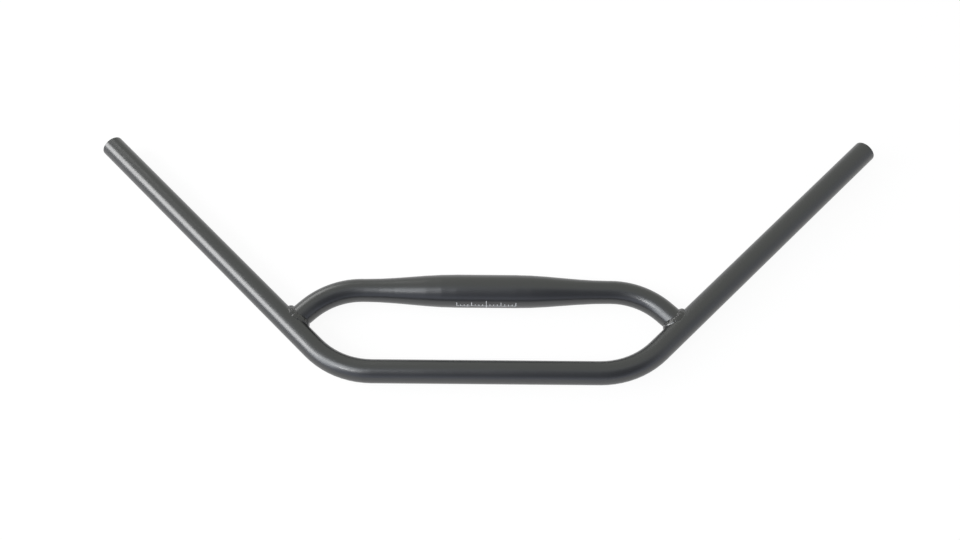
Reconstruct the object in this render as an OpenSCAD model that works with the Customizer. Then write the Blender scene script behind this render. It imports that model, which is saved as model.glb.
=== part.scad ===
// Loop handlebar for a bicycle.
// One bent tube makes the front bar and both swept grips. A second tube, swaged
// out to the stem clamp diameter at its middle, is bent forward at both ends,
// coped to the grip legs and welded to them.
// Millimetres. X runs across the bicycle, Y points to the rider, Z is up.
// The origin is the centre of the stem clamp zone.

/* [Grip tube] */
// Outside diameter of the grip tube
grip_diameter = 22.2; // [20:0.1:26]
// Wall thickness of the grip tube
grip_wall = 2.2; // [1.2:0.1:3]
// Half the length of the straight run at the front
front_half = 105; // [80:1:140]
// Centreline radius of the two front bends
grip_bend_radius = 78; // [60:1:110]
// Angle each grip leg sweeps back
sweep = 45; // [30:1:60]
// Straight length of each grip leg after its bend
leg_length = 318; // [250:1:380]

/* [Clamp tube] */
// Outside diameter of the stem clamp zone
clamp_diameter = 31.8; // [25.4:0.1:35]
// Wall thickness of the clamp tube
clamp_wall = 2.4; // [1.4:0.1:3]
// Length of the full-diameter clamp zone
clamp_zone = 56; // [40:1:90]
// Length of the swaged taper each side of the clamp zone
swage_length = 88; // [40:1:100]
// Outside diameter of the bent arms
arm_diameter = 22.2; // [19:0.1:24]
// Straight neck between the taper and the bend
neck_length = 3; // [1:0.5:10]
// Centreline radius of the arm bends
arm_bend_radius = 70; // [50:1:90]
// Distance of the clamp axis behind the front tube axis
setback = 85; // [70:1:110]
// How far the clamp tube axis lies below the plane of the grip tube
drop = 3; // [0:0.5:5]

/* [Welds] */
// Size of the weld fillet
bead_size = 3.3; // [2:0.1:5]
// Height of the ripples on the weld
ripple_height = 0.4; // [0:0.05:0.8]
// Number of ripples around each joint
ripple_count = 24; // [12:1:40]

/* [Hidden] */
sides = 36;
bend_steps = 8;
swage_steps = 6;
rings_per_ripple = 4;
crown_points = 3;
seat_points = 3;
crown = 0.22;
root_land = 0.12;
fan_window = 0.02;
seat_gap = 0.02;
end_blend = 1;
bend_swell = 0.02;
lap = 0.3;
grip_r = grip_diameter / 2;
grip_bore_r = grip_r - grip_wall;
clamp_r = clamp_diameter / 2;
arm_r = arm_diameter / 2;
front_y = -setback;
plane_z = drop;
// Where the grip leg starts, and where the straight arm starts
leg_x = front_half + grip_bend_radius * sin(sweep);
leg_y = front_y + grip_bend_radius * (1 - cos(sweep));
neck_x = clamp_zone / 2 + swage_length + neck_length;
arm_turn = 90 - sweep;
arm_x = neck_x + arm_bend_radius * sin(arm_turn);
arm_y = -arm_bend_radius * (1 - cos(arm_turn));
// Length of the straight arm up to the leg axis, and where the two axes cross
arm_reach = (arm_y - leg_y) * cos(sweep) - (arm_x - leg_x) * sin(sweep);
cross_x = arm_x + arm_reach * cos(arm_turn);
cross_y = arm_y - arm_reach * sin(arm_turn);

// A straight rod along +X
module rod(r, length) {
    rotate([90, 0, 90]) rotate([0, 0, 180]) cylinder(h = length, r = r, $fn = sides);
}

// A bend that leaves the origin along +X and turns towards +Y. It is thicker than
// the rods by bend_swell, so that their ends stop inside it.
module elbow(r, radius, angle) {
    translate([0, radius, 0])
        rotate([0, 0, -90])
            rotate_extrude(angle = angle, $fn = 360 / angle * bend_steps)
                translate([radius, 0]) circle(r = r + bend_swell, $fn = sides);
}

// Front run, both bends and both legs, run on past the ends by extra
module grip_path(r, extra) {
    translate([-front_half - lap, front_y, plane_z]) rod(r, 2 * (front_half + lap));
    grip_side(r, extra);
    mirror([1, 0, 0]) grip_side(r, extra);
}

module grip_side(r, extra) {
    translate([front_half, front_y, plane_z]) elbow(r, grip_bend_radius, sweep);
    translate([leg_x, leg_y, plane_z])
        rotate([0, 0, sweep])
            translate([-lap, 0, 0]) rod(r, leg_length + lap + extra);
}

module grip_tube() {
    color("#3b3c3f")
        difference() {
            grip_path(grip_r, 0);
            grip_path(grip_bore_r, 1);
        }
}

// Radius of the swaged tube at a distance along the taper
function swage_r(s) = arm_r + (clamp_r - arm_r) * (1 + cos(180 * s / swage_length)) / 2;
// Half profile of the swaged middle and its neck, shrunk by an inset
function swage_points(inset) = concat(
    [for (i = [0 : swage_steps]) let (s = swage_length * i / swage_steps)
        [swage_r(s) - inset, clamp_zone / 2 + s]],
    [[arm_r - inset, neck_x + lap]]);
function mirrored(points) = [for (i = [len(points) - 1 : -1 : 0]) [points[i][0], -points[i][1]]];

// Swaged middle and both bent arms, up to the axis of each grip leg plus extra
module clamp_path(inset, extra) {
    half = swage_points(inset);
    rotate([90, 0, 90])
        rotate_extrude($fn = sides)
            polygon(concat([[0, -neck_x - lap]], mirrored(half), half, [[0, neck_x + lap]]));
    arm(arm_r - inset, extra);
    mirror([1, 0, 0]) arm(arm_r - inset, extra);
}

module arm(r, extra) {
    mirror([0, 1, 0]) {
        translate([neck_x, 0, 0]) elbow(r, arm_bend_radius, arm_turn);
        translate([arm_x, -arm_y, 0])
            rotate([0, 0, arm_turn])
                translate([-lap, 0, 0]) rod(r, arm_reach + lap + extra);
    }
}

// The length of grip leg that the arm is coped to
module leg_core() {
    translate([cross_x, cross_y, plane_z])
        rotate([0, 0, sweep])
            rotate([0, -90, 0])
                cylinder(h = 60, r = grip_r, center = true, $fn = sides);
}

module clamp_tube() {
    color("#3e3f42")
        difference() {
            clamp_path(0, 0);
            clamp_path(clamp_wall, 1);
            leg_core();
            mirror([1, 0, 0]) leg_core();
        }
}

// Two triangles between the corners of one cell of a swept surface
function cell(p, q, r, s) = [[p, q, r], [p, r, s]];

// The weld runs round the seam where the arm meets the leg. Its frame has the
// origin on the leg axis, x along the arm towards the leg, y along the leg and
// z up. Where the arm reaches below the leg, the seam follows the arm's end and
// the weld fills the corner between that end and the leg.
function leg_angle(z) = asin(max(-1, min(1, z / grip_r)));
function seam(a) = let (z = -drop + arm_r * sin(a), w = leg_angle(z))
    [-grip_r * cos(w), arm_r * cos(a), z];
function run_length(points, i = 0, sum = 0) = i >= len(points) - 1 ? [[sum, i]]
    : concat([[sum, i]], run_length(points, i + 1, sum + norm(points[i + 1] - points[i])));
seam_table = run_length([for (i = [0 : 360]) seam(i - 90)]);
seam_total = seam_table[len(seam_table) - 1][0];
// Angle round the arm at a fraction of the whole run
function seam_angle(t) = lookup((t - floor(t)) * seam_total, seam_table) - 90;
// The seam on the unrolled surface of the leg
function unrolled(t) = let (a = seam_angle(t))
    [grip_r * leg_angle(-drop + arm_r * sin(a)) * PI / 180, arm_r * cos(a)];
function on_leg(q) = let (w = q[0] / grip_r * 180 / PI, r = grip_r + seat_gap)
    [-r * cos(w), q[1], r * sin(w)];
function unit(v) = v / norm(v);
// Ripple height along the run, steep on one side like the pools of a laid weld
function ripple(t) = let (f = t * ripple_count - floor(t * ripple_count))
    ripple_height * (1 - f) * min(1, 6 * f + 0.4);

// One section across the weld: toe on the arm, crown, toe on the leg, root
function weld_section(t) = let (
    a = seam_angle(t),
    radial = [0, cos(a), sin(a)],
    size = bead_size + ripple(t),
    q = unrolled(t),
    along = unit(unrolled(t + fan_window) - unrolled(t - fan_window)),
    away = [-along[1], along[0]],
    z = seam(a)[2],
    past = max(0, abs(z) - grip_r),
    over = min(1, past / end_blend),
    arm_line = [0, 0, -drop] + (arm_r + seat_gap) * radial,
    seam_x = [seam(a)[0], 0, 0],
    toe = arm_line + seam_x + [seat_gap * over - size * (1 - over), 0, 0],
    foot = on_leg(q + size * away),
    root_arm = past > 0
        ? [seat_gap, arm_line[1], sign(z) * (grip_r + seat_gap + min(past, root_land * size))]
        : arm_line + seam_x - [root_land * size, 0, 0],
    root_leg = on_leg(q + root_land * size * away),
    lift = unit(radial + unit([foot[0], 0, foot[2]]) + [1.5 * over, 0, 0]))
    concat([for (k = [0 : crown_points + 1]) let (s = k / (crown_points + 1))
            toe + (foot - toe) * s + crown * size * sin(180 * s) * lift],
        [for (k = [seat_points : -1 : 1]) on_leg(q + size * k / (seat_points + 1) * away)],
        [root_leg, root_arm]);

module bead_sweep() {
    rings = ripple_count * rings_per_ripple;
    ring_size = crown_points + seat_points + 4;
    points = [for (i = [0 : rings - 1]) each weld_section((i + 0.5) / rings)];
    faces = [for (i = [0 : rings - 1], j = [0 : ring_size - 1]) let (
            k = (i + 1) % rings, m = (j + 1) % ring_size)
        each cell(i * ring_size + j, i * ring_size + m, k * ring_size + m, k * ring_size + j)];
    polyhedron(points = points, faces = faces, convexity = 8);
}

module bead() {
    translate([cross_x, cross_y, plane_z])
        rotate([0, 0, -arm_turn]) bead_sweep();
}

module right_weld_bead() {
    color("#4a4b4e") bead();
}

module left_weld_bead() {
    color("#4a4b4e") mirror([1, 0, 0]) bead();
}

grip_tube();
clamp_tube();
left_weld_bead();
right_weld_bead();
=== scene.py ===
"""Looks of the loop handlebar: satin black tubes on a white sweep."""

import math

import bpy
from mathutils import Matrix, Vector


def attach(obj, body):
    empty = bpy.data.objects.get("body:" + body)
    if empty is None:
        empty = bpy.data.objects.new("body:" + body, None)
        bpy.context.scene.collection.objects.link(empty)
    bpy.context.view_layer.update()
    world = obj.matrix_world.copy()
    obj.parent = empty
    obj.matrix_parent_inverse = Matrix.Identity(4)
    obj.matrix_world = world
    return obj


MM = 0.001
WHITE = (1.0, 1.0, 1.0)

# Bar, in millimetres, as in the CAD source
CLAMP_R = 15.9
SETBACK = 85.0
DROP = 3.0

# Satin black: colour, roughness and strength of the grain, on tubes and on welds
TUBE_FINISH = ((0.012, 0.0125, 0.0135), 0.29, 0.03)
WELD_FINISH = ((0.009, 0.009, 0.01), 0.24, 0.1)
SPECULAR = 0.9
# How far the roughness strays each way, in patches
SMOOTHER, ROUGHER = 0.03, 0.04
# Texture scales are per metre, bump depths in metres
PATCH_SCALE, PATCH_DETAIL = 35, 4
GRAIN_SCALE, GRAIN_DETAIL, GRAIN_DEPTH = 1800, 3, 0.00004
POOL_SCALE, POOL_STRENGTH, POOL_DEPTH = 300, 0.8, 0.0009

# Centring marks on the clamp zone. Lengths across the bar, the line's width and
# its lift off the tube are in millimetres. Heights round the bar are in degrees.
MARK_SPREAD = 28.0
MARK_PITCH = 3.5
MARK_LINE = 0.6
MARK_LIFT = 0.06
MARK_LOW, MARK_MID, MARK_HIGH = -16.0, 3.0, 28.0
MARK_SHORT, MARK_TALL = 9.0, 18.0
MARK_TALL_EVERY = 4
MARK_FACET = 5.0
MARK_COLOUR = (0.6, 0.61, 0.64)
MARK_ROUGH = 0.45

# Floor: half its side in metres, its grey, and the share that glows white to the
# eye and in reflections. The rest takes the bar's shadow.
FLOOR_HALF = 6.0
FLOOR_GREY = 0.9
FLOOR_GLOW = 0.93

# World: its light on the bar, and the room in reflections, whose light falls off
# to its dark side between two cosines from that side's direction
SKY_LIGHT = 0.55
ROOM_LIGHT, ROOM_DARK = 0.8, 0.2
DARK_SIDE = (0.25, -0.62, 0.75)
DARK_FROM, DARK_FULL = 0.72, 0.97
# The room's tint, from warm at the back to cool in front, along Y
ROOM_WARM, WARM_FROM = (0.97, 1.0, 0.93), 0.3
ROOM_COOL, COOL_FROM = (0.9, 0.96, 1.15), -0.6

# Area lamps: name, point looked at, direction it stands in, distance, size, watts
# and colour. Lengths are in metres.
LAMPS = (
    ("window", (-0.25, 0.05, 0), (-0.82, -0.08, 0.57), 2.3, (1.5, 1.3), 46, WHITE),
    ("front_left", (0.15, -0.02, 0), (-0.62, -0.40, 0.67), 5.0, (1.8, 5.6), 126,
     (0.93, 0.97, 1.0)),
    ("overhead", (0.13, 0, 0), (-0.42, -0.50, 0.76), 5.0, (0.7, 1.0), 36, WHITE),
    ("rear_left", (-0.15, 0, 0), (-0.50, 0.72, 0.48), 2.4, (1.2, 1.0), 11, WHITE),
)

# Camera: angles in degrees, the middle of the front tube as the camera sees it in
# millimetres (right, down and away), and the lens
ELEVATION = 61.773
YAW = -0.896
ROLL = -0.329
OFFSET = Vector((5.232, 94.002, 1021.036))
FOCAL_PX = 1110.40
FRAME_W = 960
SENSOR_MM = 36.0
CLIP_START = 0.01


def add_node(nodes, kind, **values):
    """A new shader node, with its inputs set by name. An underscore stands for a space."""
    node = nodes.new(kind)
    for name, value in values.items():
        node.inputs[name.replace("_", " ")].default_value = value
    return node


def node_material(name):
    """A new material, with its nodes, its links and its surface node."""
    mat = bpy.data.materials.new(name)
    mat.use_nodes = True
    nodes = mat.node_tree.nodes
    return mat, nodes, mat.node_tree.links, nodes["Principled BSDF"]


def satin_black(name, base, rough, grain):
    """Satin black finish with a fine grain and slightly uneven gloss."""
    mat, nodes, links, bsdf = node_material(name)
    bsdf.inputs["Base Color"].default_value = (*base, 1)
    bsdf.inputs["Specular IOR Level"].default_value = SPECULAR
    coords = add_node(nodes, "ShaderNodeTexCoord")
    fine = add_node(nodes, "ShaderNodeTexNoise", Scale=GRAIN_SCALE, Detail=GRAIN_DETAIL)
    broad = add_node(nodes, "ShaderNodeTexNoise", Scale=PATCH_SCALE, Detail=PATCH_DETAIL)
    gloss = add_node(nodes, "ShaderNodeMapRange", To_Min=rough - SMOOTHER, To_Max=rough + ROUGHER)
    bump = add_node(nodes, "ShaderNodeBump", Strength=grain, Distance=GRAIN_DEPTH)
    links.new(coords.outputs["Object"], fine.inputs["Vector"])
    links.new(coords.outputs["Object"], broad.inputs["Vector"])
    links.new(broad.outputs["Fac"], gloss.inputs["Value"])
    links.new(gloss.outputs["Result"], bsdf.inputs["Roughness"])
    links.new(fine.outputs["Fac"], bump.inputs["Height"])
    links.new(bump.outputs["Normal"], bsdf.inputs["Normal"])
    return mat


def add_pools(mat):
    """Rounded pools about 3 mm across, as the torch leaves them, under the fine grain."""
    nodes, links = mat.node_tree.nodes, mat.node_tree.links
    coords = next(n for n in nodes if n.type == "TEX_COORD")
    grain = next(n for n in nodes if n.type == "BUMP")
    cells = add_node(nodes, "ShaderNodeTexVoronoi", Scale=POOL_SCALE)
    pools = add_node(nodes, "ShaderNodeBump", Strength=POOL_STRENGTH, Distance=POOL_DEPTH)
    pools.invert = True
    links.new(coords.outputs["Object"], cells.inputs["Vector"])
    links.new(cells.outputs["Distance"], pools.inputs["Height"])
    links.new(pools.outputs["Normal"], grain.inputs["Normal"])


def white_floor(name):
    """White to the eye and in reflections, with a faint shadow left in."""
    mat, nodes, links, bsdf = node_material(name)
    nodes.remove(bsdf)
    path = add_node(nodes, "ShaderNodeLightPath")
    diffuse = add_node(nodes, "ShaderNodeBsdfDiffuse", Color=(FLOOR_GREY,) * 3 + (1,))
    glow = add_node(nodes, "ShaderNodeEmission")
    seen = add_node(nodes, "ShaderNodeMath")
    seen.operation = "MAXIMUM"
    share = add_node(nodes, "ShaderNodeMath")
    share.operation = "MULTIPLY"
    share.inputs[1].default_value = FLOOR_GLOW
    mix = add_node(nodes, "ShaderNodeMixShader")
    links.new(path.outputs["Is Camera Ray"], seen.inputs[0])
    links.new(path.outputs["Is Glossy Ray"], seen.inputs[1])
    links.new(seen.outputs[0], share.inputs[0])
    links.new(share.outputs[0], mix.inputs["Fac"])
    links.new(diffuse.outputs[0], mix.inputs[1])
    links.new(glow.outputs[0], mix.inputs[2])
    links.new(mix.outputs[0], nodes["Material Output"].inputs["Surface"])
    return mat


def mark_ink(name):
    """Plain light ink."""
    mat, _, _, bsdf = node_material(name)
    bsdf.inputs["Base Color"].default_value = (*MARK_COLOUR, 1)
    bsdf.inputs["Roughness"].default_value = MARK_ROUGH
    return mat


def add_object(name, data):
    """A new object in the scene."""
    thing = bpy.data.objects.new(name, data)
    bpy.context.scene.collection.objects.link(thing)
    return thing


def clamp_point(x, angle):
    """A point just over the clamp zone, at a distance across the bar and an angle in
    degrees up round it from its foremost line."""
    a = math.radians(angle)
    r = CLAMP_R + MARK_LIFT
    return (x * MM, -r * math.cos(a) * MM, r * math.sin(a) * MM)


def add_patch(verts, faces, x0, x1, a0, a1):
    """Faces over the clamp zone between two distances across it and two angles round it."""
    steps = max(1, round((a1 - a0) / MARK_FACET))
    for k in range(steps + 1):
        a = a0 + (a1 - a0) * k / steps
        verts.extend((clamp_point(x0, a), clamp_point(x1, a)))
        if k:
            n = len(verts)
            faces.append((n - 4, n - 3, n - 1, n - 2))


def make_graduations():
    """Centring marks on the front of the clamp zone: a long middle line, a base line
    and short ticks."""
    verts, faces = [], []
    half = MARK_LINE / 2
    degrees = math.degrees(half / CLAMP_R)
    add_patch(verts, faces, -half, half, MARK_LOW, MARK_HIGH)
    add_patch(verts, faces, -MARK_SPREAD - half, MARK_SPREAD + half,
              MARK_MID - degrees, MARK_MID + degrees)
    count = round(MARK_SPREAD / MARK_PITCH)
    for i in range(-count, count + 1):
        if i:
            x = i * MARK_PITCH
            tall = MARK_SHORT if i % MARK_TALL_EVERY else MARK_TALL
            add_patch(verts, faces, x - half, x + half, MARK_MID, MARK_MID + tall)
    mesh = bpy.data.meshes.new("graduations")
    mesh.from_pydata(verts, [], faces)
    mesh.materials.append(mark_ink("mark_ink"))
    marks = add_object("graduations", mesh)
    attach(marks, "root")


def make_floor(height):
    """The floor that the bar lies on."""
    s = FLOOR_HALF
    corners = [(-s, -s, height), (s, -s, height), (s, s, height), (-s, s, height)]
    mesh = bpy.data.meshes.new("floor")
    mesh.from_pydata(corners, [], [(0, 1, 2, 3)])
    mesh.materials.append(white_floor("floor_white"))
    floor = add_object("floor", mesh)


def make_world():
    """White to the eye, plain soft light on the bar, and a room in reflections with
    one dark side."""
    world = bpy.data.worlds.new("world")
    bpy.context.scene.world = world
    world.use_nodes = True
    nodes, links = world.node_tree.nodes, world.node_tree.links
    plain_sky = nodes["Background"]
    plain_sky.inputs["Color"].default_value = (*WHITE, 1)
    path = add_node(nodes, "ShaderNodeLightPath")
    strength = add_node(nodes, "ShaderNodeMapRange", To_Min=SKY_LIGHT, To_Max=1.0)
    links.new(path.outputs["Is Camera Ray"], strength.inputs["Value"])
    links.new(strength.outputs["Result"], plain_sky.inputs["Strength"])
    coords = add_node(nodes, "ShaderNodeTexCoord")
    near = add_node(nodes, "ShaderNodeVectorMath")
    near.operation = "DOT_PRODUCT"
    near.inputs[1].default_value = Vector(DARK_SIDE).normalized()
    shade = add_node(nodes, "ShaderNodeMapRange", From_Min=DARK_FROM, From_Max=DARK_FULL,
                     To_Min=ROOM_LIGHT, To_Max=ROOM_DARK)
    shade.interpolation_type = "SMOOTHSTEP"
    split = add_node(nodes, "ShaderNodeSeparateXYZ")
    cool = add_node(nodes, "ShaderNodeMapRange", From_Min=WARM_FROM, From_Max=COOL_FROM)
    tint = add_node(nodes, "ShaderNodeMix")
    tint.data_type = "RGBA"
    tint.inputs["A"].default_value = (*ROOM_WARM, 1)
    tint.inputs["B"].default_value = (*ROOM_COOL, 1)
    room = add_node(nodes, "ShaderNodeBackground")
    mix = add_node(nodes, "ShaderNodeMixShader")
    links.new(coords.outputs["Generated"], near.inputs[0])
    links.new(near.outputs["Value"], shade.inputs["Value"])
    links.new(coords.outputs["Generated"], split.inputs[0])
    links.new(split.outputs["Y"], cool.inputs["Value"])
    links.new(cool.outputs["Result"], tint.inputs["Factor"])
    links.new(tint.outputs["Result"], room.inputs["Color"])
    links.new(shade.outputs["Result"], room.inputs["Strength"])
    links.new(path.outputs["Is Glossy Ray"], mix.inputs["Fac"])
    links.new(plain_sky.outputs[0], mix.inputs[1])
    links.new(room.outputs[0], mix.inputs[2])
    links.new(mix.outputs[0], nodes["World Output"].inputs["Surface"])


def softbox(name, aim, direction, distance, size, watts, colour):
    """An area lamp that looks at a point from a direction."""
    data = bpy.data.lights.new(name, "AREA")
    data.shape = "RECTANGLE"
    data.size, data.size_y = size
    data.energy = watts
    data.color = colour
    towards = Vector(direction).normalized()
    lamp = add_object(name, data)
    lamp.location = Vector(aim) + towards * distance
    lamp.rotation_euler = towards.to_track_quat("Z", "Y").to_euler()


def turned(degrees):
    """A turn about the third axis."""
    a = math.radians(degrees)
    return Matrix(((math.cos(a), -math.sin(a), 0), (math.sin(a), math.cos(a), 0), (0, 0, 1)))


def make_camera():
    """A camera that puts the bar where the photograph has it."""
    e = math.radians(ELEVATION)
    tilt = Matrix(((1, 0, 0), (0, -math.sin(e), -math.cos(e)), (0, math.cos(e), -math.sin(e))))
    view = turned(ROLL) @ tilt @ turned(YAW)
    place = -(view.transposed() @ OFFSET) + Vector((0, -SETBACK, DROP))
    # A Blender camera looks down its own -Z with Y up
    axes = view.transposed() @ Matrix(((1, 0, 0), (0, -1, 0), (0, 0, -1)))
    data = bpy.data.cameras.new("camera")
    data.sensor_width = SENSOR_MM
    data.lens = FOCAL_PX / FRAME_W * SENSOR_MM
    data.clip_start = CLIP_START
    cam = add_object("camera", data)
    cam.matrix_world = Matrix.Translation(place * MM) @ axes.to_4x4()
    bpy.context.scene.camera = cam


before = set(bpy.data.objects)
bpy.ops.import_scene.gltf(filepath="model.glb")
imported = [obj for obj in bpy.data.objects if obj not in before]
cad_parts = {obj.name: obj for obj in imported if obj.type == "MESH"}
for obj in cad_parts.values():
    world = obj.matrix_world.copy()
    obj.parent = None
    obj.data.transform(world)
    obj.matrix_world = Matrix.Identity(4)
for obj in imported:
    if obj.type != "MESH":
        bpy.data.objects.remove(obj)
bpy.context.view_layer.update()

tube_finish = satin_black("tube_finish", *TUBE_FINISH)
weld_finish = satin_black("weld_finish", *WELD_FINISH)
add_pools(weld_finish)
for name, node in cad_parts.items():
    finish = weld_finish if "weld" in name else tube_finish
    node.data.materials.clear()
    node.data.materials.append(finish)

make_graduations()
make_floor(-CLAMP_R * MM)
make_world()
for lamp in LAMPS:
    softbox(*lamp)
make_camera()
bpy.context.scene.view_settings.view_transform = "Standard"
